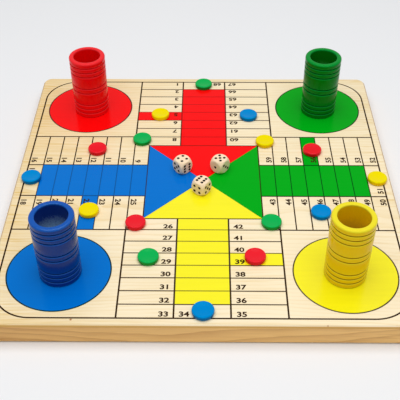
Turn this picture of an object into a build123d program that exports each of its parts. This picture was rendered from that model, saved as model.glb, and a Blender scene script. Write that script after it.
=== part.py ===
"""Parchis set: a solid pine board with an engraved field, four turned cups, sixteen counters and three dice.

Millimetres. The origin is the middle of the board's underside, +Z is up, and -Y faces the player whose
end cell is number 34. Each loose piece is a node of its own, standing on the board where it is in play.
"""

import os

from build123d import *

# Board: one solid pine panel with rounded corners and broken edges
board_side = 400.0
board_thickness = 23.5
board_corner_radius = 10.0
board_edge_chamfer = 2.0

# Field: lines engraved in the top face. The round homes in its corners are lacquer and aren't cut
field_border = 9.0
outline_corner_radius = 37.0
centre_square_side = 121.4
cells_per_column = 8
heavy_line_width = 1.5
light_line_width = 1.2
line_depth = 0.4

# Coloured lacquer on the field, which the loose pieces stand on
lacquer_thickness = 0.1

# Cup: turned beech, a little narrower at its base, with grooves in three groups
cup_diameter = 40.8
cup_base_diameter = 39.8
cup_height = 72.5
cup_bore = 30.0
cup_floor = 6.0
cup_rim_chamfer = 1.2
cup_base_chamfer = 1.2
groove_width = 1.8
groove_depth = 0.9
groove_pitch = 5.6
grooves_per_end = 3
base_band = 6.0
rim_band = 6.3
waist_band = 6.3

# Counter: a turned disc
counter_diameter = 20.6
counter_thickness = 5.2
counter_edge_chamfer = 0.8

# Die: a cube whose corners are turned away, with drilled pips
die_side = 16.0
die_turned_diameter = 21.4
pip_diameter = 3.0
pip_depth = 0.7
pip_facets = 8
pip_spacing = 3.2
six_row_spacing = 3.6

# Places worked out from the sizes above
field_half = board_side / 2 - field_border
centre_half = centre_square_side / 2
cell_pitch = (field_half - centre_half) / cells_per_column
home_edge = centre_half + cell_pitch
lane_half = home_edge / 3
column_middle = (home_edge + lane_half) / 2
home_middle = (field_half + home_edge) / 2
seat_height = board_thickness + lacquer_thickness
cells_per_arm = 2 * cells_per_column + 1

# How far each cup stands from the middle of its home. The homes follow each other from the front left one
cups = {"blue": (0.7, -1.4), "yellow": (-0.5, -1.3), "green": (1.6, -1.8), "red": (0.9, -0.6)}

# Each counter's cell and how far it stands from the cell's middle. A half number is the corner of two cells
counters = {
    "green": ((68, -0.4, -0.6), (8.5, -0.5, 0.3), (29, -0.7, 0.2), (42.5, -0.3, 0.8)),
    "blue": ((63, 1.1, -1.3), (17, -1.0, 1.2), (46, 2.0, -1.6), (34, 0.7, -1.6)),
    "red": ((12, -0.4, -0.5), (56, 3.0, -1.5), (25.5, 1.4, -0.7), (39, -1.1, 1.2)),
    "yellow": ((5, 0.4, 0.0), (59.5, 0.1, -3.3), (51, 2.4, 0.7), (22, 1.5, -0.2)),
}

# Each die's place on the board, the tilt that brings a face up, and its turn about +Z
dice = {
    "left": ((-22.4, 17.0), Rot(0, -90, 0), 130.0),
    "right": ((17.9, 18.1), Rot(90, 0, 0), 140.0),
    "front": ((-1.7, -18.0), Rot(0, 0, 0), 233.0),
}


def groove(start, end, width):
    """A straight engraved line from start to end, with its square ends half a width longer."""
    run = Vector(*end) - Vector(*start)
    middle = (Vector(*end) + Vector(*start)) / 2
    angle = Vector(1, 0, 0).get_signed_angle(run, Vector(0, 0, 1))
    return Pos(middle.X, middle.Y) * Rot(0, 0, angle) * Rectangle(run.length + width, width)


def arm_lines():
    """The lines of the front arm, which the other three arms repeat at quarter turns."""
    lines = [groove((-centre_half, -centre_half), (centre_half, -centre_half), light_line_width)]
    for cell in range(1, cells_per_column):
        y = -centre_half - cell * cell_pitch
        lines.append(groove((-home_edge, y), (home_edge, y), light_line_width))
    for x in (-lane_half, lane_half):
        lines.append(groove((x, -centre_half), (x, -field_half), heavy_line_width))
    for x in (-home_edge, home_edge):
        lines.append(groove((x, -home_edge), (x, -field_half), heavy_line_width))
    lines.append(groove((-home_edge, -home_edge), (-centre_half, -centre_half), light_line_width))
    return lines


def field_sketch():
    """All the engraved lines as one flat sketch."""
    path = RectangleRounded(2 * field_half, 2 * field_half, outline_corner_radius)
    outline = offset(path, heavy_line_width / 2) - offset(path, -heavy_line_width / 2)
    return outline + [Rot(0, 0, 90 * quarter) * line for quarter in range(4) for line in arm_lines()]


def board():
    panel = extrude(RectangleRounded(board_side, board_side, board_corner_radius), board_thickness)
    rims = panel.edges().group_by(Axis.Z)
    panel = chamfer(rims[0] + rims[-1], board_edge_chamfer)
    return panel - extrude(Pos(0, 0, board_thickness) * field_sketch(), -line_depth)


def groove_heights():
    """Equal groups of grooves above the base and below the rim, and a pair at the waist."""
    steps = range(grooves_per_end)
    base = [base_band + step * groove_pitch for step in steps]
    waist = [cup_height / 2 + side * waist_band / 2 for side in (-1, 1)]
    rim = [cup_height - rim_band - step * groove_pitch for step in steps]
    return base + waist + rim


def wall_radius(height):
    """The radius of the cup's wall at this height."""
    return (cup_base_diameter + (cup_diameter - cup_base_diameter) * height / cup_height) / 2


def cup():
    """The cup standing on the origin, turned in one piece and bored from above."""
    outline = [(0, 0), (wall_radius(0), 0), (wall_radius(cup_height), cup_height), (0, cup_height)]
    bore_depth = cup_height - cup_floor
    section = Polygon(*outline, align=None)
    section -= Pos(cup_bore / 4, cup_height - bore_depth / 2) * Rectangle(cup_bore / 2, bore_depth)
    rim_chamfer = min(cup_rim_chamfer, 0.45 * (cup_diameter - cup_bore) / 2)
    section = chamfer(section.vertices().group_by(Axis.Y)[-1], rim_chamfer)
    section = chamfer(section.vertices().group_by(Axis.Y)[0].sort_by(Axis.X)[-1], cup_base_chamfer)
    notch = [(groove_depth, groove_width), (groove_depth, -groove_width), (-groove_depth, 0)]
    section -= [Pos(wall_radius(height), height) * Polygon(*notch, align=None) for height in groove_heights()]
    return revolve(Plane.XZ * section, Axis.Z)


def counter():
    """The counter lying on the origin."""
    disc = extrude(Circle(counter_diameter / 2), counter_thickness)
    return chamfer(disc.edges().filter_by(GeomType.CIRCLE), counter_edge_chamfer)


def pips(number):
    """Where the pips of one face are, on its own two axes. The rows of six run along the first."""
    far = pip_spacing
    if number == 6:
        return [(x, y) for x in (-six_row_spacing, 0, six_row_spacing) for y in (-far, far)]
    places = [(0, 0)] if number % 2 else []
    if number > 1:
        places += [(-far, -far), (far, far)]
    if number > 3:
        places += [(far, -far), (-far, far)]
    return places


def die():
    """The die about the origin, with 4, 5 and 6 on +X, +Y and +Z and opposite faces that add to seven."""
    half = die_side / 2
    body = Box(die_side, die_side, die_side) & Sphere(die_turned_diameter / 2)
    point = loft([RegularPolygon(pip_diameter / 2, pip_facets).face(), Vertex(0, 0, -pip_depth)])
    faces = {6: Plane.XY, 1: -Plane.XY, 5: Plane.ZX, 2: -Plane.ZX, 4: Plane.YZ, 3: -Plane.YZ}
    return body - [
        face.offset(half) * Pos(x, y) * point for number, face in faces.items() for x, y in pips(number)
    ]


def cell_middle(number):
    """Where a cell's middle is. Cells are numbered from 26 at the centre's front left, anticlockwise."""
    quarter, place = divmod(number - 25.5, cells_per_arm)
    row = place - 0.5
    if place == 0:
        x, y = -centre_half - cell_pitch / 2, -centre_half - cell_pitch / 2
    elif row < cells_per_column:
        x, y = -column_middle, -centre_half - (row + 0.5) * cell_pitch
    elif row == cells_per_column:
        x, y = 0, -field_half + cell_pitch / 2
    else:
        x, y = column_middle, -centre_half - (2 * cells_per_column - row + 0.5) * cell_pitch
    return Vector(x, y, 0).rotate(Axis.Z, 90 * quarter)


def solids():
    """Every piece in its place, by the name of its node."""
    made = {"board": board()}
    for quarter, (colour, (right, back)) in enumerate(cups.items()):
        home = Vector(-home_middle, -home_middle, seat_height).rotate(Axis.Z, 90 * quarter)
        made[f"cup_{colour}"] = Pos(home + Vector(right, back, 0)) * cup()
    for colour, cells in counters.items():
        for index, (cell, right, back) in enumerate(cells, 1):
            place = cell_middle(cell) + Vector(right, back, seat_height)
            made[f"counter_{colour}_{index}"] = Pos(place) * counter()
    for side, ((x, y), tilt, turn) in dice.items():
        made[f"die_{side}"] = Pos(x, y, seat_height + die_side / 2) * Rot(0, 0, turn) * tilt * die()
    return made


os.makedirs("parts", exist_ok=True)
for name, solid in solids().items():
    export_step(solid, f"parts/{name}.step")
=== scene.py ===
"""A wooden parchis set: pine board, engraved and lacquered field, turned cups and counters, and three dice.

Metres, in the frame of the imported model. The file follows the set as it is laid out on a table: the board
first, then its engraved lines, lacquer and numbers, and then the loose pieces.
"""

import math

import bmesh
import bpy
from mathutils import Matrix, Vector


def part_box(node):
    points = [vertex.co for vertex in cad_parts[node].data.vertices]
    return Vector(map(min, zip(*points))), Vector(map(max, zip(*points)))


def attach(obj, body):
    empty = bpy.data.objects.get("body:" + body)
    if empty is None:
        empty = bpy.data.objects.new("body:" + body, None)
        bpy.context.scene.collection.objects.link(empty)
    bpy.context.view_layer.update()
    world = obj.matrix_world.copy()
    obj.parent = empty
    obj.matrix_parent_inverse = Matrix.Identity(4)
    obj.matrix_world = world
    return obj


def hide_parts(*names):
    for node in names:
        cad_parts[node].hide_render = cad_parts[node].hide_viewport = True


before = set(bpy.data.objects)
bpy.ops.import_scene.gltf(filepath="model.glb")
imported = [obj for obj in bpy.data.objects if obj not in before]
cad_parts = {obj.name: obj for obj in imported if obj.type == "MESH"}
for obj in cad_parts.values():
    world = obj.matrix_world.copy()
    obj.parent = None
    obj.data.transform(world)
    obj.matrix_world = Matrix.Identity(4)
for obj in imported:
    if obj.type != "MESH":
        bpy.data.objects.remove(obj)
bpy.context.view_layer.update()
mm = 0.001


# Camera: a standing player's view over the front edge, just right of the board's middle and a little
# turned to the left. The lens takes in the whole board with a narrow margin.
eye = Vector((2.9, -647.9, 564.1)) * mm
look_down = math.radians(41.27)
look_left = math.radians(0.57)
camera_roll = math.radians(-0.17)
view_angle = math.radians(28.41)

camera = bpy.data.objects.new("camera", bpy.data.cameras.new("camera"))
camera.data.angle = view_angle
camera.matrix_world = (
    Matrix.Translation(eye)
    @ Matrix.Rotation(look_left, 4, "Z")
    @ Matrix.Rotation(math.radians(90) - look_down, 4, "X")
    @ Matrix.Rotation(camera_roll, 4, "Z")
)
bpy.context.scene.collection.objects.link(camera)
bpy.context.scene.camera = camera
bpy.context.scene.view_settings.view_transform = "Standard"


# Table and light: a plain pale table under one wide soft box, with a pale room around it. The box hangs a
# little in front of the board's middle, so tops are brighter than the cups' walls.
table_size = 12.0
table_colour = "#ECEDEF"
room_colour = "#FFFFFF"
room_strength = 0.31
mirrored_room_strength = 0.55
soft_box_size = 1.8
soft_box_place = (0.0, -0.15, 1.6)
soft_box_power = 27.0


def linear(hex_colour):
    """An sRGB colour such as #F1F1EF as the linear RGBA that Blender wants."""
    channels = [int(hex_colour[i : i + 2], 16) / 255 for i in (1, 3, 5)]
    return [c / 12.92 if c <= 0.04045 else ((c + 0.055) / 1.055) ** 2.4 for c in channels] + [1.0]


def add_node(tree, kind, inputs=None, **settings):
    """Adds a node with its settings. inputs maps a socket's name or number to a value or to an output."""
    new = tree.nodes.new(kind)
    for name, value in settings.items():
        setattr(new, name, value)
    for name, value in (inputs or {}).items():
        if isinstance(value, bpy.types.NodeSocket):
            tree.links.new(value, new.inputs[name])
        else:
            new.inputs[name].default_value = value
    return new


def new_material(name, **shader_inputs):
    """A material whose only node is a Principled shader with these inputs, and that shader."""
    material = bpy.data.materials.new(name)
    material.use_nodes = True
    shader = material.node_tree.nodes["Principled BSDF"]
    for socket, value in shader_inputs.items():
        shader.inputs[socket.replace("_", " ")].default_value = value
    return material, shader


def new_piece(name, mesh):
    """A piece of the scene with this mesh."""
    piece = bpy.data.objects.new(name, mesh)
    bpy.context.scene.collection.objects.link(piece)
    return piece


table_mesh = bpy.data.meshes.new("table")
half = table_size / 2
corners = [(-half, -half, 0), (half, -half, 0), (half, half, 0), (-half, half, 0)]
table_mesh.from_pydata(corners, [], [(0, 1, 2, 3)])
table_top, _ = new_material("pale_table", Base_Color=linear(table_colour), Roughness=0.9)
table_mesh.materials.append(table_top)
new_piece("table", table_mesh)

world = bpy.data.worlds.new("room")
world.use_nodes = True
room = world.node_tree.nodes["Background"]
room.inputs["Color"].default_value = linear(room_colour)
# The room is stronger where it is seen or mirrored than where it only lights the set
ray = add_node(world.node_tree, "ShaderNodeLightPath").outputs
mirrored = {0: ray["Is Camera Ray"], 1: ray["Is Glossy Ray"]}
mirrored = add_node(world.node_tree, "ShaderNodeMath", mirrored, operation="MAXIMUM").outputs[0]
strengths = {0: mirrored, 2: room_strength, 3: mirrored_room_strength}
strengths = add_node(world.node_tree, "ShaderNodeMix", strengths).outputs[0]
world.node_tree.links.new(strengths, room.inputs["Strength"])
bpy.context.scene.world = world

soft_box = bpy.data.objects.new("soft_box", bpy.data.lights.new("soft_box", "AREA"))
soft_box.data.size = soft_box_size
soft_box.data.energy = soft_box_power
soft_box.location = soft_box_place
soft_box.rotation_euler = (-Vector(soft_box_place)).to_track_quat("-Z", "Y").to_euler()
bpy.context.scene.collection.objects.link(soft_box)


# Board: one panel of slash pine, planed, with broken edges and a clear satin lacquer. Soft growth rings run
# from left to right, and the wood is deeper at the back left and yellower towards the rims. The sawn edges
# are painted a deeper honey than the top, partly for the lacquer their grain drinks and partly as painted
# shade on the upright faces. The upper broken corner is painted a darker honey as painted shade, and there
# are two pin knots by the rim.
ring_width = 4.2 * mm
late_wood_sharpness = 2.5
stave_width = 67 * mm
stave_shift = (0.9, 0.08, 0.03)
pith_depth = 10 * mm
trunk_bends = (3.5, 12.0, 12.0)
trunk_bend = 28 * mm
fibre_width = 0.5 * mm
fibre_length = 40 * mm
streak_width = 2.5 * mm
flame_width = 2.6 * mm
streak_stretch = 0.06
patch_width = 45 * mm
patch_stretch = 0.3
heart_slope = (-1.6, 0.8, 0)
heart_strength = 0.55
palest = -0.2
flames_start = 90 * mm
flame_onset = 0.56
flame_full = 0.72
field_edge = 188 * mm
side_strength = 0.14
border_strength = 0.2
flame_strength = 0.36
mark_mean = 0.4
late_wood_strength = 0.22
streak_strength = 0.45
fibre_strength = 0.20
edge_figure = 0.25
edge_margin = 0.8 * mm
edge_blend = 0.3 * mm
broken_corner = 2 * mm
corner_shade_blend = 0.6 * mm
pine_pale = "#F9E9C7"
pine_dark = "#D8AE48"
# The sawn edges: the honey of lacquered edge grain together with painted shade of the upright faces
honey_and_shade_pale = "#FFCE80"
honey_and_shade_dark = "#C28845"
# Painted shade: a darker honey on the upper broken corner, so that it looks less lit
corner_painted_shade = "#C69A54"
knot_brown = "#B0703F"
knots = ((-0.1165, -0.1930, 1.5 * mm), (0.1105, -0.1990, 1.3 * mm))

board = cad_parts["board"]
board_low, board_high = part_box("board")
board_top = board_high.z


def drawn_out(tree, place, scale, **settings):
    """The outputs of a noise that is stretched: scale says how often it changes per metre on each axis."""
    stretched = add_node(tree, "ShaderNodeMapping", {"Vector": place, "Scale": scale}).outputs[0]
    return add_node(tree, "ShaderNodeTexNoise", {"Vector": stretched, "Scale": 1.0, **settings}).outputs


def pine():
    """Clear satin lacquer over planed pine: warm and pale, with late wood a little darker than early wood."""
    material, shader = new_material("clear_lacquered_pine", Roughness=0.38, Specular_IOR_Level=0.3)
    tree = material.node_tree
    place = add_node(tree, "ShaderNodeTexCoord").outputs["Object"]
    axes = add_node(tree, "ShaderNodeSeparateXYZ", {0: place}).outputs
    # Every stave comes from another part of the trunk, so each has its own offset from the pith
    stave = add_node(tree, "ShaderNodeMath", {0: axes["Y"], 1: stave_width}, operation="DIVIDE").outputs[0]
    stave = add_node(tree, "ShaderNodeMath", {0: stave}, operation="FLOOR").outputs[0]
    luck = add_node(tree, "ShaderNodeTexWhiteNoise", {"W": stave}, noise_dimensions="1D").outputs["Color"]
    shift = {0: luck, 1: stave_shift}
    shift = add_node(tree, "ShaderNodeVectorMath", shift, operation="MULTIPLY").outputs[0]
    trunk = add_node(tree, "ShaderNodeVectorMath", {0: place, 1: shift}, operation="ADD").outputs[0]
    # The pith lies below the panel, and the trunk bends slowly along the grain
    bend = {0: drawn_out(tree, trunk, trunk_bends, Detail=2.0)["Color"], 1: (0.0, trunk_bend, trunk_bend)}
    bend = add_node(tree, "ShaderNodeVectorMath", bend, operation="MULTIPLY").outputs[0]
    trunk = add_node(tree, "ShaderNodeVectorMath", {0: trunk, 1: bend}, operation="ADD").outputs[0]
    trunk = {"Vector": trunk, "Location": (0, 0, pith_depth)}
    trunk = add_node(tree, "ShaderNodeMapping", trunk).outputs[0]
    # At a scale of 1, a wave's rings lie tau / 20 apart
    rings = {"Vector": trunk, "Scale": math.tau / 20 / ring_width}
    rings |= {"Distortion": 1.5, "Detail": 2.0, "Detail Scale": 0.4}
    kind = {"wave_type": "RINGS", "rings_direction": "X", "wave_profile": "SAW"}
    rings = add_node(tree, "ShaderNodeTexWave", rings, **kind).outputs["Fac"]
    late_wood = {0: rings, 1: late_wood_sharpness}
    late_wood = add_node(tree, "ShaderNodeMath", late_wood, operation="POWER").outputs[0]
    fibres = (1 / fibre_length, 1 / fibre_width, 1 / fibre_width)
    fibres = drawn_out(tree, place, fibres, Detail=3.0)["Fac"]
    streaks = (streak_stretch / streak_width, 1 / streak_width, 1 / streak_width)
    streaks = drawn_out(tree, place, streaks, Detail=3.0)["Fac"]
    patches = (patch_stretch / patch_width, 1 / patch_width, 1 / patch_width)
    patches = drawn_out(tree, place, patches, Detail=3.0)["Fac"]
    # Where the heartwood is near, at the back left, the wood is deeper in colour
    heart = add_node(tree, "ShaderNodeVectorMath", {0: place, 1: heart_slope}, operation="DOT_PRODUCT")
    heart = {0: patches, 1: heart.outputs["Value"]}
    heart = add_node(tree, "ShaderNodeMath", heart, operation="ADD").outputs[0]
    depth = {0: heart, 1: heart_strength, 2: palest}
    depth = add_node(tree, "ShaderNodeMath", depth, operation="MULTIPLY_ADD").outputs[0]
    # The wood is yellower towards the rims, and near the left and right ones short flames of summer wood show
    side = add_node(tree, "ShaderNodeMath", {0: axes["X"]}, operation="ABSOLUTE").outputs[0]
    side = {"Value": side, 1: flames_start, 2: board_high.x}
    side = add_node(tree, "ShaderNodeMapRange", side).outputs[0]
    border = add_node(tree, "ShaderNodeMath", {0: axes["Y"]}, operation="ABSOLUTE").outputs[0]
    border = {"Value": border, 1: field_edge, 2: board_high.y}
    border = add_node(tree, "ShaderNodeMapRange", border).outputs[0]
    flames = (streak_stretch / flame_width, 1 / flame_width, 1 / flame_width)
    flames = drawn_out(tree, trunk, flames, Detail=1.0, Distortion=0.6)["Fac"]
    flames = {"Value": flames, 1: flame_onset, 2: flame_full}
    flames = add_node(tree, "ShaderNodeMapRange", flames).outputs[0]
    flames = add_node(tree, "ShaderNodeMath", {0: flames, 1: side}, operation="MULTIPLY").outputs[0]
    for mark, strength in ((side, side_strength), (border, border_strength), (flames, flame_strength)):
        depth = {0: mark, 1: strength, 2: depth}
        depth = add_node(tree, "ShaderNodeMath", depth, operation="MULTIPLY_ADD").outputs[0]
    strengths = ((late_wood, late_wood_strength), (streaks, streak_strength), (fibres, fibre_strength))
    for mark, strength in strengths:
        part = add_node(tree, "ShaderNodeMath", {0: mark, 1: -mark_mean}, operation="ADD").outputs[0]
        depth = {0: part, 1: strength, 2: depth}
        depth = add_node(tree, "ShaderNodeMath", depth, operation="MULTIPLY_ADD").outputs[0]
    face = {0: depth, 6: linear(pine_pale), 7: linear(pine_dark)}
    colour = add_node(tree, "ShaderNodeMix", face, data_type="RGBA").outputs[2]
    # The edges' honey, partly painted shade, starts part-way down the broken corners, and the upper broken
    # corner is one even darker tone of painted shade
    above = {"Value": axes["Z"], 1: edge_margin, 2: edge_margin + edge_blend}
    above = add_node(tree, "ShaderNodeMapRange", above).outputs[0]
    below = {"Value": axes["Z"], 1: board_top - edge_margin, 2: board_top - edge_margin - edge_blend}
    below = add_node(tree, "ShaderNodeMapRange", below).outputs[0]
    sawn_honey_and_shade = add_node(tree, "ShaderNodeMath", {0: above, 1: below}, operation="MULTIPLY").outputs[0]
    figure = {0: late_wood, 1: edge_figure, 2: depth}
    figure = add_node(tree, "ShaderNodeMath", figure, operation="MULTIPLY_ADD").outputs[0]
    edge = {0: figure, 6: linear(honey_and_shade_pale), 7: linear(honey_and_shade_dark)}
    edge = add_node(tree, "ShaderNodeMix", edge, data_type="RGBA").outputs[2]
    corner_foot = board_top - broken_corner
    corner_shade_mask = {"Value": axes["Z"], 1: corner_foot - corner_shade_blend, 2: corner_foot}
    corner_shade_mask = add_node(tree, "ShaderNodeMapRange", corner_shade_mask).outputs[0]
    edge = {0: corner_shade_mask, 6: edge, 7: linear(corner_painted_shade)}
    edge = add_node(tree, "ShaderNodeMix", edge, data_type="RGBA").outputs[2]
    colour = add_node(tree, "ShaderNodeMix", {0: sawn_honey_and_shade, 6: colour, 7: edge}, data_type="RGBA").outputs[2]
    for x, y, radius in knots:
        near = add_node(tree, "ShaderNodeVectorMath", {0: place, 1: (x, y, board_top)}, operation="DISTANCE")
        near = {"Value": near.outputs["Value"], 1: radius, 2: radius / 3}
        near = add_node(tree, "ShaderNodeMapRange", near).outputs[0]
        knot = {0: near, 6: colour, 7: linear(knot_brown)}
        colour = add_node(tree, "ShaderNodeMix", knot, data_type="RGBA").outputs[2]
    tree.links.new(colour, shader.inputs["Base Color"])
    bump = {"Strength": 0.15, "Distance": 0.05 * mm, "Height": fibres}
    tree.links.new(add_node(tree, "ShaderNodeBump", bump).outputs[0], shader.inputs["Normal"])
    return material


board.material_slots[0].material = pine()


# Engraved lines: cut into the bare panel and filled with dark brown stain, which bleeds a little past each
# cut. Bars that fill the grooves make one arm, and a tree repeats it at quarter turns round the outline.
field_border = 9 * mm
outline_corner = 37 * mm
outline_corner_steps = 24
centre_side = 121.4 * mm
cells_per_column = 8
heavy_line = 1.65 * mm
light_line = 1.3 * mm
groove_depth = 0.4 * mm
stain_above_top = 0.02 * mm
lacquer_thickness = 0.1 * mm
stain_colour = "#34200A"

field_half = (board_high.x - board_low.x) / 2 - field_border
centre_half = centre_side / 2
cell_pitch = (field_half - centre_half) / cells_per_column
home_edge = centre_half + cell_pitch
lane_half = home_edge / 3
stain_low = board_top - groove_depth
stain_high = board_top + stain_above_top
lacquer_top = board_top + lacquer_thickness


def add_bar(shape, start, end, width):
    """Adds a closed bar of stain from start to end, with its square ends half a width longer."""
    run = Vector(end) - Vector(start)
    middle = (Vector(end) + Vector(start)) / 2
    place = Matrix.Translation((middle.x, middle.y, (stain_low + stain_high) / 2))
    turn = Matrix.Rotation(math.atan2(run.y, run.x), 4, "Z")
    size = Matrix.Diagonal((run.length + width, width, stain_high - stain_low, 1))
    bmesh.ops.create_cube(shape, size=1, matrix=place @ turn @ size)


def mesh_from(shape, name):
    """Turns a bmesh into a mesh with its faces outwards."""
    bmesh.ops.recalc_face_normals(shape, faces=shape.faces)
    mesh = bpy.data.meshes.new(name)
    shape.to_mesh(mesh)
    shape.free()
    return mesh


def front_arm_lines():
    """The bars of the front arm."""
    shape = bmesh.new()
    add_bar(shape, (-centre_half, -centre_half), (centre_half, -centre_half), light_line)
    add_bar(shape, (-home_edge, -home_edge), (-centre_half, -centre_half), light_line)
    for cell in range(1, cells_per_column):
        y = -centre_half - cell * cell_pitch
        add_bar(shape, (-home_edge, y), (home_edge, y), light_line)
    for x in (-lane_half, lane_half):
        add_bar(shape, (x, -centre_half), (x, -field_half), heavy_line)
    for x in (-home_edge, home_edge):
        add_bar(shape, (x, -home_edge), (x, -field_half), heavy_line)
    return mesh_from(shape, "front_arm_lines")


def new_tree(name, **sockets):
    """A geometry tree with a mesh in and out and an input for each of these, and its input sockets."""
    tree = bpy.data.node_groups.new(name, "GeometryNodeTree")
    tree.interface.new_socket("Mesh", in_out="OUTPUT", socket_type="NodeSocketGeometry")
    tree.interface.new_socket("Mesh", in_out="INPUT", socket_type="NodeSocketGeometry")
    for socket, kind in sockets.items():
        tree.interface.new_socket(socket, in_out="INPUT", socket_type="NodeSocket" + kind)
    return tree, tree.nodes.new("NodeGroupInput").outputs


def end_tree(tree, mesh, material):
    """Ends a geometry tree: plain mesh, one material, out."""
    mesh = add_node(tree, "GeometryNodeRealizeInstances", {0: mesh}).outputs[0]
    mesh = add_node(tree, "GeometryNodeSetMaterial", {0: mesh, "Material": material}).outputs[0]
    add_node(tree, "NodeGroupOutput", {0: mesh})


def made_by(tree, name, start, **inputs):
    """A piece with the plain mesh that the tree makes from the start mesh and these inputs."""
    piece = new_piece(name, start)
    modifier = piece.modifiers.new(tree.name, "NODES")
    modifier.node_group = tree
    for socket in tree.interface.items_tree:
        if socket.in_out == "INPUT" and socket.name in inputs:
            modifier[socket.identifier] = inputs[socket.name]
    made = piece.evaluated_get(bpy.context.evaluated_depsgraph_get())
    mesh = bpy.data.meshes.new_from_object(made)
    piece.modifiers.clear()
    piece.data = mesh
    return piece


def bar_along(tree, path, width, height, middle_height):
    """The nodes that lay a flat bar along a closed flat path, with its middle at this height."""
    section = add_node(tree, "GeometryNodeCurvePrimitiveQuadrilateral", {"Width": width, "Height": height})
    loop = add_node(tree, "GeometryNodeCurveToMesh", {0: path, "Profile Curve": section.outputs[0]})
    lift = add_node(tree, "ShaderNodeCombineXYZ", {"Z": middle_height}).outputs[0]
    return add_node(tree, "GeometryNodeTransform", {0: loop.outputs[0], "Translation": lift}).outputs[0]


def quarter_turns(tree, mesh):
    """The nodes that repeat a mesh at four quarter turns about the middle of the board."""
    corners = add_node(tree, "GeometryNodePoints", {"Count": 4}).outputs[0]
    index = add_node(tree, "GeometryNodeInputIndex").outputs[0]
    angle = add_node(tree, "ShaderNodeMath", {0: index, 1: math.radians(90)}, operation="MULTIPLY").outputs[0]
    turn = add_node(tree, "ShaderNodeCombineXYZ", {"Z": angle}).outputs[0]
    turns = add_node(tree, "GeometryNodeInstanceOnPoints", {0: corners, "Instance": mesh, "Rotation": turn})
    return add_node(tree, "GeometryNodeRealizeInstances", {0: turns.outputs[0]}).outputs[0]


def line_pattern():
    """The tree that makes the whole pattern of lines from the bars of one arm."""
    tree, given = new_tree(
        "line_pattern",
        **{"Outline Side": "Float", "Outline Corner": "Float", "Line Width": "Float", "Line Depth": "Float"},
        **{"Line Middle": "Float", "Material": "Material"},
    )
    side = given["Outline Side"]
    path = add_node(tree, "GeometryNodeCurvePrimitiveQuadrilateral", {"Width": side, "Height": side})
    path = {0: path.outputs[0], "Count": outline_corner_steps, "Radius": given["Outline Corner"]}
    path = add_node(tree, "GeometryNodeFilletCurve", path, mode="POLY").outputs[0]
    outline = bar_along(tree, path, given["Line Width"], given["Line Depth"], given["Line Middle"])
    arms = quarter_turns(tree, given["Mesh"])
    joined = {"operation": "UNION", "solver": "EXACT"}
    lines = add_node(tree, "GeometryNodeMeshBoolean", {"Self Intersection": True}, **joined)
    tree.links.new(outline, lines.inputs["Mesh 2"])
    tree.links.new(arms, lines.inputs["Mesh 2"])
    end_tree(tree, lines.outputs[0], given["Material"])
    return tree


# Dark oil stain in the cuts: it soaks in and stays dull
stain_look = {"Base_Color": linear(stain_colour), "Roughness": 0.6, "Specular_IOR_Level": 0.05}
stain, _ = new_material("dark_oil_stain", **stain_look)
lines = made_by(
    line_pattern(),
    "field_lines",
    front_arm_lines(),
    **{"Outline Side": 2 * field_half, "Outline Corner": outline_corner, "Line Width": heavy_line},
    **{"Line Depth": stain_high - stain_low, "Line Middle": (stain_low + stain_high) / 2},
    Material=stain,
)
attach(lines, "board")


# Lacquered fields: each player's lane of seven cells, way out, round home and quarter of the centre, in
# opaque lacquer sprayed through a mask, so each field is a thin plate that stops at the engraved lines.
# A thin ground coat shows at their seams and darkens over the lines. Each home sits a little off its place.
lane_cells = 7
exit_row = 3
cell_gap = 1.0 * mm
seam_gap = 0.3 * mm
ground_thickness = 0.05 * mm
home_diameter = 98 * mm
home_facets = 128
lacquered_grain = (20, 300, 300)
thick_coat_share = 0.92
home_middle = (field_half + home_edge) / 2
field_lacquers = {
    "yellow": ("#FDF310", "#3E2C02", "#4A3A04", (1.0, 1.0, 1.0, 1.0), 0.5),
    "green": ("#00AA18", "#005010", "#003C0A", (0.0, 1.0, 0.1, 1.0), 0.1),
    "red": ("#FF080A", "#B80404", "#520404", (1.0, 0.2, 0.3, 1.0), 0.2),
    "blue": ("#0070D1", "#03509A", "#022034", (0.0, 1.0, 0.4, 1.0), 0.32),
}
quarters = {"yellow": 0, "green": 1, "red": 2, "blue": 3}
home_slips = {"yellow": (0.1, -1.4), "green": (0.9, 0.1), "red": (-1.2, 0.4), "blue": (-1.1, -0.6)}


def add_plate(shape, outline, thickness):
    """Adds a closed plate of lacquer with this outline to a bmesh."""
    corners = [shape.verts.new((x, y, board_top)) for x, y in outline]
    raised = bmesh.ops.extrude_face_region(shape, geom=[shape.faces.new(corners)])
    raised = [vertex for vertex in raised["geom"] if isinstance(vertex, bmesh.types.BMVert)]
    bmesh.ops.translate(shape, vec=(0, 0, thickness), verts=raised)


def rectangle(left, right, top, bottom):
    """The corners of an upright rectangle."""
    return [(left, top), (left, bottom), (right, bottom), (right, top)]


def lone_fields(home):
    """The plates of the front player that come once: the centre's triangle, the way out and the home."""
    shape = bmesh.new()
    edge = centre_half - light_line / 2
    tip = math.sqrt(2) * seam_gap / 2
    add_plate(shape, [(0, -tip), (tip - edge, -edge), (edge - tip, -edge)], lacquer_thickness)
    left = lane_half + heavy_line / 2
    right = home_edge - heavy_line / 2
    top = -centre_half - exit_row * cell_pitch - cell_gap / 2
    bottom = -centre_half - (exit_row + 1) * cell_pitch + cell_gap / 2
    add_plate(shape, rectangle(left, right, top, bottom), lacquer_thickness)
    radius = (home_diameter - light_line) / 2
    turns = [math.tau * step / home_facets for step in range(home_facets)]
    outline = [(home.x + radius * math.cos(t), home.y + radius * math.sin(t)) for t in turns]
    add_plate(shape, outline, lacquer_thickness)
    return mesh_from(shape, "lone_fields")


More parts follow.
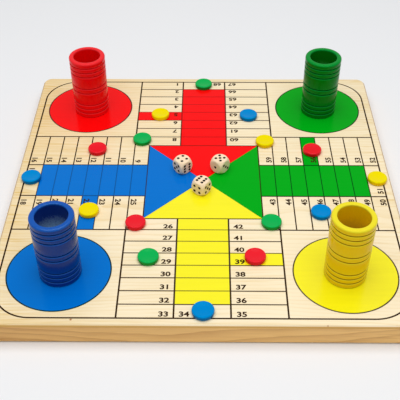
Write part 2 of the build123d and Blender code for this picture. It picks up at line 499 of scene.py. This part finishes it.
def lacquered_fields():
    """The tree that lays the lane's cells beside the lone plates and turns all to their player's side."""
    tree, given = new_tree(
        "lacquered_fields",
        **{"Cells": "Int", "Cell Size": "Vector", "First Cell": "Vector", "Next Cell": "Vector"},
        **{"Turn": "Vector", "Material": "Material"},
    )
    cell = add_node(tree, "GeometryNodeMeshCube", {"Size": given["Cell Size"]})
    lane = add_node(
        tree,
        "GeometryNodeMeshLine",
        {"Count": given["Cells"], "Start Location": given["First Cell"], "Offset": given["Next Cell"]},
    )
    lane = add_node(tree, "GeometryNodeInstanceOnPoints", {0: lane.outputs[0], "Instance": cell.outputs[0]})
    fields = add_node(tree, "GeometryNodeJoinGeometry")
    tree.links.new(lane.outputs[0], fields.inputs[0])
    tree.links.new(given["Mesh"], fields.inputs[0])
    fields = add_node(tree, "GeometryNodeRealizeInstances", {0: fields.outputs[0]})
    fields = add_node(tree, "GeometryNodeTransform", {0: fields.outputs[0], "Rotation": given["Turn"]})
    end_tree(tree, fields.outputs[0], given["Material"])
    return tree


def lane_ground():
    """The front player's ground coats: thin plates under the quarter, the lane and the way out."""
    shape = bmesh.new()
    edge = centre_half - light_line / 2
    add_plate(shape, [(0, 0), (-edge, -edge), (edge, -edge)], ground_thickness)
    lane_end = -centre_half - lane_cells * cell_pitch
    add_plate(shape, rectangle(-lane_half, lane_half, -centre_half, lane_end), ground_thickness)
    top = -centre_half - exit_row * cell_pitch
    add_plate(shape, rectangle(lane_half, home_edge, top, top - cell_pitch), ground_thickness)
    return mesh_from(shape, "lane_ground")


def home_ring():
    """The tree that lays a flat ring round a home."""
    tree, given = new_tree(
        "home_ring",
        **{"Radius": "Float", "Width": "Float", "Height": "Float", "Place": "Vector", "Material": "Material"},
    )
    circle = {"Resolution": home_facets, "Radius": given["Radius"]}
    circle = add_node(tree, "GeometryNodeCurvePrimitiveCircle", circle).outputs[0]
    ring = bar_along(tree, circle, given["Width"], given["Height"], 0.0)
    ring = add_node(tree, "GeometryNodeTransform", {0: ring, "Translation": given["Place"]})
    end_tree(tree, ring.outputs[0], given["Material"])
    return tree


def field_lacquer(name, hex_colour, tint, shine):
    """Semi-gloss lacquer on pine: a flat strong colour. Some colours mirror the cups more than others."""
    material, shader = new_material(name, Roughness=0.2, Specular_IOR_Level=shine, Specular_Tint=tint)
    tree = material.node_tree
    place = add_node(tree, "ShaderNodeTexCoord").outputs["Object"]
    grain = drawn_out(tree, place, lacquered_grain, Detail=3.0)["Fac"]
    thin = linear(hex_colour)
    thick = [thick_coat_share * channel for channel in thin[:3]] + [1.0]
    coat = add_node(tree, "ShaderNodeMix", {0: grain, 6: thin, 7: thick}, data_type="RGBA").outputs[2]
    tree.links.new(coat, shader.inputs["Base Color"])
    bump = {"Strength": 0.15, "Distance": 0.02 * mm, "Height": grain}
    tree.links.new(add_node(tree, "ShaderNodeBump", bump).outputs[0], shader.inputs["Normal"])
    return material


fields_tree = lacquered_fields()
ring_tree = home_ring()
for colour, quarter in quarters.items():
    lacquer, ground_coat, outlined, tint, shine = field_lacquers[colour]
    turn = Matrix.Rotation(quarter * math.radians(90), 4, "Z")
    slip = Vector((*home_slips[colour], 0)) * mm
    home = Vector((home_middle, -home_middle, 0)) + turn.inverted() @ slip
    ring = made_by(
        ring_tree,
        f"{colour}_home_ring",
        bpy.data.meshes.new("nothing"),
        **{"Radius": home_diameter / 2, "Width": light_line, "Height": lacquer_thickness},
        Place=turn @ home + Vector((0, 0, board_top + lacquer_thickness / 2)),
        Material=field_lacquer(f"{colour}_lacquer_over_outline", outlined, tint, shine),
    )
    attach(ring, "board")
    ground = new_piece(f"{colour}_ground_coat", lane_ground())
    ground.data.transform(turn)
    ground.data.materials.append(field_lacquer(f"{colour}_lacquer_over_lines", ground_coat, tint, shine))
    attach(ground, "board")
    fields = made_by(
        fields_tree,
        f"{colour}_fields",
        lone_fields(home),
        **{"Cells": lane_cells, "Next Cell": (0, -cell_pitch, 0)},
        **{"Cell Size": (2 * lane_half - heavy_line, cell_pitch - cell_gap, lacquer_thickness)},
        **{"First Cell": (0, -centre_half - cell_pitch / 2, board_top + lacquer_thickness / 2)},
        Turn=(0, 0, quarter * math.radians(90)),
        Material=field_lacquer(f"{colour}_field_lacquer", lacquer, tint, shine),
    )
    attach(fields, "board")


# Cell numbers: 1 to 68, printed in the stain's brown with a bold sans serif face. Each stands upright for
# the player whose side it is on, beside the lane, a little above its cell's outer line.
digit_height = 5.8 * mm
digit_boldness = 0.035
digit_stretch = 1.2
print_thickness = 0.04 * mm
number_rise = 2.2 * mm
left_numbers_end = -30.0 * mm
right_numbers_start = 30.6 * mm
end_number_start = -21.2 * mm
first_number = 26
cells_per_arm = 2 * cells_per_column + 1
cells_in_all = 4 * cells_per_arm
coloured_exits = (5, 22, 39, 56)


def number_mesh(number, align):
    """The number as a flat mesh with its baseline on X and its left or right end on the origin."""
    text = bpy.data.curves.new(f"number_{number}", "FONT")
    text.body = str(number)
    text.align_x = align
    text.bevel_depth = digit_boldness
    text.bevel_resolution = 0
    carrier = new_piece(text.name, text)
    mesh = bpy.data.meshes.new_from_object(carrier.evaluated_get(bpy.context.evaluated_depsgraph_get()))
    bpy.data.objects.remove(carrier)
    return mesh


def cell_numbers():
    """All the numbers as one mesh. Numbers on a coloured way out lie on its lacquer."""
    numbers = bmesh.new()
    height = max(v.co.y for v in number_mesh(0, "LEFT").vertices)
    scale = digit_height / height
    scale = Matrix.Diagonal((digit_stretch * scale, scale, print_thickness / 2 / digit_boldness, 1))
    for quarter in range(4):
        first = first_number + cells_per_arm * quarter
        last = first + cells_per_arm - 1
        places = [(first + row, left_numbers_end, row, "RIGHT") for row in range(cells_per_column)]
        places += [(last - row, right_numbers_start, row, "LEFT") for row in range(cells_per_column)]
        places += [(first + cells_per_column, end_number_start, cells_per_column - 1, "LEFT")]
        for number, x, row, align in places:
            number = (number - 1) % cells_in_all + 1
            mesh = number_mesh(number, align)
            y = -centre_half - (row + 1) * cell_pitch + number_rise
            ground = lacquer_top if number in coloured_exits else board_top
            spot = Matrix.Translation((x, y, ground + print_thickness / 2))
            mesh.transform(Matrix.Rotation(quarter * math.radians(90), 4, "Z") @ spot @ scale)
            numbers.from_mesh(mesh)
    mesh = mesh_from(numbers, "cell_numbers")
    mesh.materials.append(stain)
    return mesh


numbers = new_piece("cell_numbers", cell_numbers())
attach(numbers, "board")


# Cups: beech, turned in one piece with a bore for the dice, then grooved in three groups and sprayed with
# gloss enamel. Painted shade darkens the grooves and the foot, painted highlight makes the lips and rim
# paler, and down the bore the colour turns paler, both where the spray thins out and as painted light.
cup_base_diameter = 39.8 * mm
cup_rim_round = 2.0 * mm
cup_mouth_round = 1.2 * mm
cup_base_round = 1.6 * mm
cup_bore = 30 * mm
cup_floor = 6 * mm
groove_width = 3.0 * mm
groove_cut = 1.1 * mm
groove_softness = 1.8
groove_steps = 7
groove_pitch = 5.6 * mm
grooves_per_end = 3
base_band = 6 * mm
rim_band = 6.3 * mm
waist_band = 6.3 * mm
arbor = 0.1 * mm
seam_merge = 0.001 * mm
cup_facets = 96
turning_mark = 0.8 * mm
turning_marks = (15, 15, 1 / turning_mark)
bore_margin = 0.5 * mm
speckle_scale = 900.0
spray_scatter = 12 * mm
spray_reach_near = 8 * mm
spray_reach_far = 32 * mm
thin_coat_and_light_share = 0.9
groove_shade_share = 0.9
lip_highlight_share = 0.85
groove_shade_depth = 0.4 * mm
groove_shade_blend = 0.2 * mm
lip_highlight_start = 0.005 * mm
lip_highlight_end = 0.05 * mm
rim_highlight_fade = 2.2 * mm
# Each colour: enamel, painted shade in the grooves, the bore's paler colour (thinning spray and painted
# light), painted highlight on rim and lips, shine tint, shine
cup_enamels = {
    "red": ("#F20606", "#DC0404", "#C8281C", "#ED2A30", (1.0, 0.2, 0.2, 1.0), 0.2),
    "green": ("#06700C", "#014208", "#54CC60", "#00892F", (0.2, 1.0, 0.3, 1.0), 0.2),
    "blue": ("#082A7C", "#02144C", "#BEE6FA", "#0C50AA", (0.5, 0.8, 1.0, 1.0), 0.34),
    "yellow": ("#F0C604", "#A86C02", "#BC9830", "#EADB2C", (1.0, 0.95, 0.2, 1.0), 0.2),
}


def arc(middle_x, middle_y, radius, start, end, steps=8):
    """Points along an arc, with its angles in degrees."""
    turns = [math.radians(start + (end - start) * step / steps) for step in range(steps + 1)]
    return [(middle_x + radius * math.cos(t), middle_y + radius * math.sin(t)) for t in turns]


def groove(radius, height):
    """Points up a softened V groove in a wall of this radius, with its middle at this height."""
    points = []
    for step in range(-groove_steps, groove_steps + 1):
        across = step / groove_steps
        cut = groove_cut * (1 - abs(across)) ** groove_softness
        points.append((radius - cut, height + across * groove_width / 2))
    return points


def cup_profile(radius, height):
    """The cup's half section: from the middle of its base, out, up, over the rim and down the bore."""
    heights = [base_band + step * groove_pitch for step in range(grooves_per_end)]
    heights += [height / 2 + side * waist_band / 2 for side in (-1, 1)]
    heights += [height - rim_band - step * groove_pitch for step in reversed(range(grooves_per_end))]
    bore = cup_bore / 2
    base = cup_base_diameter / 2
    points = [(0, 0)]
    points += arc(base - cup_base_round, cup_base_round, cup_base_round, -90, 0)
    for groove_height in heights:
        points += groove(base + (radius - base) * groove_height / height, groove_height)
    points += arc(radius - cup_rim_round, height - cup_rim_round, cup_rim_round, 0, 90)
    points += arc(bore + cup_mouth_round, height - cup_mouth_round, cup_mouth_round, 90, 180)
    points += arc(bore - cup_mouth_round, cup_floor + cup_mouth_round, cup_mouth_round, 0, -90)
    return points + [(0, cup_floor)]


def turning_tree():
    """The tree that turns a half section, drawn in XY, about the upright axis through a place."""
    tree, given = new_tree(
        "turning", **{"Facets": "Int", "Arbor": "Float", "Place": "Vector", "Material": "Material"}
    )
    inwards = add_node(tree, "ShaderNodeMath", {0: given["Arbor"], 1: -1.0}, operation="MULTIPLY").outputs[0]
    inwards = add_node(tree, "ShaderNodeCombineXYZ", {"X": inwards}).outputs[0]
    section = add_node(tree, "GeometryNodeMeshToCurve", {0: given["Mesh"]}).outputs[0]
    # A section's Y points down once it follows the arbor, so it is turned over first
    section = {0: section, "Translation": inwards, "Scale": (1, -1, 1)}
    section = add_node(tree, "GeometryNodeTransform", section).outputs[0]
    circle = {"Resolution": given["Facets"], "Radius": given["Arbor"]}
    circle = add_node(tree, "GeometryNodeCurvePrimitiveCircle", circle).outputs[0]
    turned = add_node(tree, "GeometryNodeCurveToMesh", {0: circle, "Profile Curve": section}).outputs[0]
    turned = add_node(tree, "GeometryNodeMergeByDistance", {0: turned, "Distance": seam_merge}).outputs[0]
    turned = add_node(tree, "GeometryNodeTransform", {0: turned, "Translation": given["Place"]}).outputs[0]
    end_tree(tree, turned, given["Material"])
    return tree


def turned_piece(name, profile, facets, place, material):
    """A smooth turned piece made for the node of this name."""
    section = bpy.data.meshes.new(name + "_section")
    section.from_pydata([(x, y, 0) for x, y in profile], [(i, i + 1) for i in range(len(profile) - 1)], [])
    piece = made_by(turning, name, section, Facets=facets, Arbor=arbor, Place=place, Material=material)
    shape = bmesh.new()
    shape.from_mesh(piece.data)
    piece.data = mesh_from(shape, name)
    piece.data.materials.append(material)
    piece.data.shade_smooth()
    return piece


def gloss_enamel(name, hex_colour, tint, shine, axis):
    """Gloss enamel on beech turned about this axis: deep colour, clear shine and faint turning marks."""
    material, shader = new_material(
        name, Base_Color=linear(hex_colour), Roughness=0.2, Specular_IOR_Level=shine, Specular_Tint=tint
    )
    tree = material.node_tree
    place = add_node(tree, "ShaderNodeTexCoord").outputs["Object"]
    own = {"Vector": place, "Location": axis}
    own = add_node(tree, "ShaderNodeMapping", own, vector_type="TEXTURE").outputs[0]
    marks = drawn_out(tree, own, turning_marks, Detail=2.0)["Fac"]
    bump = {"Strength": 0.25, "Distance": 0.02 * mm, "Height": marks}
    tree.links.new(add_node(tree, "ShaderNodeBump", bump).outputs[0], shader.inputs["Normal"])
    return material, shader, own


def cup_enamel(name, hex_colour, groove_shade_colour, thin_coat_and_light_colour, rim_highlight_colour, tint, shine, axis, radius, height):
    """The cups' enamel: painted shade in grooves and foot, painted highlight on lips and rim, paler down the
    bore.
    """
    material, shader, own = gloss_enamel(name, hex_colour, tint, shine, axis)
    tree = material.node_tree
    axes = add_node(tree, "ShaderNodeSeparateXYZ", {0: own}).outputs
    out = add_node(tree, "ShaderNodeCombineXYZ", {"X": axes["X"], "Y": axes["Y"]}).outputs[0]
    out = add_node(tree, "ShaderNodeVectorMath", {0: out}, operation="LENGTH").outputs["Value"]
    inside = {0: out, 1: cup_bore / 2 + bore_margin}
    inside = add_node(tree, "ShaderNodeMath", inside, operation="LESS_THAN").outputs[0]
    speckle = {"Vector": own, "Scale": speckle_scale, "Detail": 2.0}
    speckle = add_node(tree, "ShaderNodeTexNoise", speckle).outputs["Fac"]
    # Down the bore the colour turns paler: the spray thins out there, and the paler colour is also painted
    # light
    level = {0: speckle, 1: spray_scatter, 2: axes["Z"]}
    level = add_node(tree, "ShaderNodeMath", level, operation="MULTIPLY_ADD").outputs[0]
    thin = {"Value": level, 1: height - spray_reach_near, 2: height - spray_reach_far, 4: thin_coat_and_light_share}
    thin = add_node(tree, "ShaderNodeMapRange", thin).outputs[0]
    thin = add_node(tree, "ShaderNodeMath", {0: thin, 1: inside}, operation="MULTIPLY").outputs[0]
    base = cup_base_diameter / 2
    wall = {0: axes["Z"], 1: (radius - base) / height, 2: base}
    wall = add_node(tree, "ShaderNodeMath", wall, operation="MULTIPLY_ADD").outputs[0]
    depth = add_node(tree, "ShaderNodeMath", {0: wall, 1: out}, operation="SUBTRACT").outputs[0]
    # Painted shade: the enamel is painted darker where the surface lies below the wall, in the grooves and at
    # the foot
    groove_shade = {"Value": depth, 1: groove_shade_depth, 2: groove_shade_depth + groove_shade_blend, 4: groove_shade_share}
    groove_shade = add_node(tree, "ShaderNodeMapRange", groove_shade).outputs[0]
    # Painted highlight: the shallow edges of the grooves and the top of the rim are painted paler
    lip_highlight = {"Value": depth, 1: lip_highlight_start, 2: lip_highlight_end, 4: lip_highlight_share}
    lip_highlight = add_node(tree, "ShaderNodeMapRange", lip_highlight).outputs[0]
    below_rim = {0: axes["Z"], 1: height - rim_band / 2}
    below_rim = add_node(tree, "ShaderNodeMath", below_rim, operation="LESS_THAN").outputs[0]
    outside = add_node(tree, "ShaderNodeMath", {0: 1.0, 1: inside}, operation="SUBTRACT").outputs[0]
    for limit in (below_rim, outside):
        groove_shade = add_node(tree, "ShaderNodeMath", {0: groove_shade, 1: limit}, operation="MULTIPLY").outputs[0]
        lip_highlight = add_node(tree, "ShaderNodeMath", {0: lip_highlight, 1: limit}, operation="MULTIPLY").outputs[0]
    # Where the grooves and the foot get painted shade, their shine is taken out too
    shine_outside_grooves = add_node(tree, "ShaderNodeMapRange", {"Value": groove_shade, 3: shine, 4: 0.0}).outputs[0]
    tree.links.new(shine_outside_grooves, shader.inputs["Specular IOR Level"])
    rim = {"Value": axes["Z"], 1: height - rim_highlight_fade, 2: height - rim_highlight_fade / 2}
    rim = add_node(tree, "ShaderNodeMapRange", rim).outputs[0]
    lip_highlight = add_node(tree, "ShaderNodeMath", {0: lip_highlight, 1: rim}, operation="MAXIMUM").outputs[0]
    coat = {0: lip_highlight, 6: linear(hex_colour), 7: linear(rim_highlight_colour)}
    coat = add_node(tree, "ShaderNodeMix", coat, data_type="RGBA").outputs[2]
    coat = {0: groove_shade, 6: coat, 7: linear(groove_shade_colour)}
    coat = add_node(tree, "ShaderNodeMix", coat, data_type="RGBA").outputs[2]
    coat = {0: thin, 6: coat, 7: linear(thin_coat_and_light_colour)}
    coat = add_node(tree, "ShaderNodeMix", coat, data_type="RGBA").outputs[2]
    tree.links.new(coat, shader.inputs["Base Color"])
    return material


turning = turning_tree()
for colour, coats in cup_enamels.items():
    name = f"cup_{colour}"
    low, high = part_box(name)
    middle = (low + high) / 2
    axis = (middle.x, middle.y, low.z)
    radius, height = (high.x - low.x) / 2, high.z - low.z
    enamel = cup_enamel(f"{colour}_cup_enamel", *coats, axis, radius, height)
    cup = turned_piece(name + "_turned", cup_profile(radius, height), cup_facets, axis, enamel)
    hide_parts(name)
    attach(cup, name)


# Counters: beech discs, turned with round edges and a faint dish in each face, dipped in gloss enamel.
counter_edge_round = 1.5 * mm
counter_rim = 2.4 * mm
counter_dish = 0.3 * mm
counter_dish_slope = 0.8 * mm
counter_facets = 64
shaded_side_end = 1.65 * mm
lit_face_start = 0.75 * mm
dent_width = 4 * mm
dent_depth = 0.3 * mm
dent_strength = 0.35
# Each colour: side painted darker as painted shade, face, shine tint, shine
counter_enamels = {
    "green": ("#088A24", "#04AE50", (0.3, 1.0, 0.4, 1.0), 0.2),
    "blue": ("#0068A4", "#0086CE", (0.0, 0.8, 1.0, 1.0), 0.12),
    "red": ("#DE1418", "#EA1E2C", (1.0, 0.4, 0.4, 1.0), 0.2),
    "yellow": ("#F6C604", "#F0DC00", (1.0, 0.95, 0.1, 1.0), 0.12),
}


def counter_profile(radius, height):
    """The counter's half section, from the middle of its underside, out, up and back in."""
    edge = counter_edge_round
    half = [(radius - counter_rim - counter_dish_slope, -counter_dish), (radius - counter_rim, 0)]
    half += arc(radius - edge, -edge, edge, 90, 0)
    upper = [(0, -counter_dish)] + half
    return [(x, -y) for x, y in upper] + [(x, height + y) for x, y in reversed(upper)]


def counter_enamel(name, shaded_side_colour, face_colour, tint, shine, axis, height):
    """The counters' enamel, with its sides painted darker than its faces as painted shade."""
    material, shader, own = gloss_enamel(name, face_colour, tint, shine, axis)
    tree = material.node_tree
    level = add_node(tree, "ShaderNodeSeparateXYZ", {0: own}).outputs["Z"]
    level = add_node(tree, "ShaderNodeMath", {0: level, 1: -height / 2}, operation="ADD").outputs[0]
    level = add_node(tree, "ShaderNodeMath", {0: level}, operation="ABSOLUTE").outputs[0]
    face = {"Value": level, 1: height / 2 - shaded_side_end, 2: height / 2 - lit_face_start}
    face = add_node(tree, "ShaderNodeMapRange", face).outputs[0]
    coat = {0: face, 6: linear(shaded_side_colour), 7: linear(face_colour)}
    coat = add_node(tree, "ShaderNodeMix", coat, data_type="RGBA").outputs[2]
    tree.links.new(coat, shader.inputs["Base Color"])
    dents = {"Vector": own, "Scale": 1 / dent_width, "Detail": 1.0}
    dents = add_node(tree, "ShaderNodeTexNoise", dents).outputs["Fac"]
    dents = {"Strength": dent_strength, "Distance": dent_depth, "Height": dents}
    tree.links.new(add_node(tree, "ShaderNodeBump", dents).outputs[0], shader.inputs["Normal"])
    return material


for node_name in sorted(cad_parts):
    if node_name.startswith("counter_"):
        colour = node_name.split("_")[1]
        low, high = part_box(node_name)
        middle = (low + high) / 2
        axis = (middle.x, middle.y, low.z)
        enamel = counter_enamel(node_name + "_enamel", *counter_enamels[colour], axis, high.z - low.z)
        profile = counter_profile((high.x - low.x) / 2, high.z - low.z)
        counter = turned_piece(node_name + "_turned", profile, counter_facets, axis, enamel)
        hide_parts(node_name)
        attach(counter, node_name)


# Dice: pale beech cubes whose corners were tumbled round, with drilled pips painted black. A cube is drawn
# in towards a ball, and a drill's dimples are taken out of it.
die_side = 16 * mm
die_ball = 21.4 * mm
die_blend = 0.9 * mm
die_grid = 40
pip_diameter = 3.1 * mm
pip_depth = 0.7 * mm
pip_spacing = 3.2 * mm
six_row_spacing = 3.6 * mm
drill_segments = 24
drill_rings = 12
fleck_length = 6 * mm
fleck_width = 0.5 * mm
beech_pale = "#FFEDD4"
beech_dark = "#F0D0A4"
pip_paint = "#0C0704"
drill_radius = ((pip_diameter / 2) ** 2 + pip_depth**2) / (2 * pip_depth)
dice = {
    "left": (Matrix.Rotation(math.radians(-90), 4, "Y"), 130.0),
    "right": (Matrix.Rotation(math.radians(90), 4, "X"), 140.0),
    "front": (Matrix.Identity(4), 233.0),
}


def pip_mesh():
    """Where a drill's ball stands over each pip of a die, with 4, 5 and 6 on its +X, +Y and +Z faces."""
    x, y, z = Vector((1, 0, 0)), Vector((0, 1, 0)), Vector((0, 0, 1))
    faces = {1: (x, -y), 2: (z, -x), 3: (y, -z), 4: (y, z), 5: (z, x), 6: (x, y)}
    far = pip_spacing
    centres = []
    for number, (right, up) in faces.items():
        spots = [(0, 0)] if number % 2 else []
        if number > 1:
            spots += [(-far, -far), (far, far)]
        if number > 3:
            spots += [(far, -far), (-far, far)]
        if number == 6:
            spots = [(step, side) for step in (-six_row_spacing, 0, six_row_spacing) for side in (-far, far)]
        over = right.cross(up) * (die_side / 2 + drill_radius - pip_depth)
        centres += [right * across + up * along + over for across, along in spots]
    mesh = bpy.data.meshes.new("pip_centres")
    mesh.from_pydata(centres, [], [])
    return mesh


def die_tree():
    """The tree that makes a die about the origin from the places of its pips."""
    tree, given = new_tree(
        "die",
        **{"Side": "Vector", "Grid": "Int", "Ball Radius": "Float", "Blend": "Float"},
        **{"Drill Radius": "Float", "Wood": "Material", "Material": "Material"},
    )
    grid = given["Grid"]
    cube = {"Size": given["Side"], "Vertices X": grid, "Vertices Y": grid, "Vertices Z": grid}
    cube = add_node(tree, "GeometryNodeMeshCube", cube).outputs[0]
    place = add_node(tree, "GeometryNodeInputPosition").outputs[0]
    reach = add_node(tree, "ShaderNodeVectorMath", {0: place}, operation="LENGTH").outputs["Value"]
    direction = add_node(tree, "ShaderNodeVectorMath", {0: place}, operation="NORMALIZE").outputs[0]
    drawn_in = {0: reach, 1: given["Ball Radius"], 2: given["Blend"]}
    drawn_in = add_node(tree, "ShaderNodeMath", drawn_in, operation="SMOOTH_MIN").outputs[0]
    place = {0: direction, "Scale": drawn_in}
    place = add_node(tree, "ShaderNodeVectorMath", place, operation="SCALE").outputs[0]
    body = add_node(tree, "GeometryNodeSetPosition", {0: cube, "Position": place}).outputs[0]
    body = add_node(tree, "GeometryNodeSetMaterial", {0: body, "Material": given["Wood"]}).outputs[0]
    body = add_node(tree, "GeometryNodeSetShadeSmooth", {0: body}).outputs[0]
    drill = {"Segments": drill_segments, "Rings": drill_rings, "Radius": given["Drill Radius"]}
    drill = add_node(tree, "GeometryNodeMeshUVSphere", drill).outputs[0]
    drill = add_node(tree, "GeometryNodeSetMaterial", {0: drill, "Material": given["Material"]}).outputs[0]
    drills = add_node(tree, "GeometryNodeInstanceOnPoints", {0: given["Mesh"], "Instance": drill}).outputs[0]
    drills = add_node(tree, "GeometryNodeRealizeInstances", {0: drills}).outputs[0]
    drilled = {"operation": "DIFFERENCE", "solver": "MANIFOLD"}
    cut = add_node(tree, "GeometryNodeMeshBoolean", {"Mesh 1": body}, **drilled)
    tree.links.new(drills, cut.inputs["Mesh 2"])
    add_node(tree, "NodeGroupOutput", {0: cut.outputs[0]})
    return tree


def beech(name, place):
    """Waxed beech: pale, close-grained, with short dark flecks along the grain, in a piece that lies so."""
    material, shader = new_material(name, Roughness=0.4, Specular_IOR_Level=0.08)
    tree = material.node_tree
    own = add_node(tree, "ShaderNodeTexCoord").outputs["Object"]
    own = {"Vector": own, "Location": place.translation, "Rotation": place.to_euler()}
    own = add_node(tree, "ShaderNodeMapping", own, vector_type="TEXTURE").outputs[0]
    flecks = (1 / fleck_length, 1 / fleck_width, 1 / fleck_width)
    flecks = drawn_out(tree, own, flecks, Detail=3.0)["Fac"]
    wood = {0: flecks, 6: linear(beech_pale), 7: linear(beech_dark)}
    wood = add_node(tree, "ShaderNodeMix", wood, data_type="RGBA").outputs[2]
    tree.links.new(wood, shader.inputs["Base Color"])
    bump = {"Strength": 0.2, "Distance": 0.02 * mm, "Height": flecks}
    tree.links.new(add_node(tree, "ShaderNodeBump", bump).outputs[0], shader.inputs["Normal"])
    return material


# Black paint in the drilled pips, which dries dull
pip_look = {"Base_Color": linear(pip_paint), "Roughness": 0.6, "Specular_IOR_Level": 0.1}
pip_black, _ = new_material("black_pip_paint", **pip_look)
tumbled = die_tree()
for side, (tilt, turn) in dice.items():
    name = f"die_{side}"
    low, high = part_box(name)
    place = Matrix.Translation((low + high) / 2) @ Matrix.Rotation(math.radians(turn), 4, "Z") @ tilt
    die = made_by(
        tumbled,
        name + "_tumbled",
        pip_mesh(),
        **{"Side": (die_side, die_side, die_side), "Grid": die_grid, "Ball Radius": die_ball / 2},
        **{"Blend": die_blend, "Drill Radius": drill_radius},
        Wood=beech(f"{side}_die_waxed_beech", place),
        Material=pip_black,
    )
    die.data.transform(place)
    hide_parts(name)
    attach(die, name)
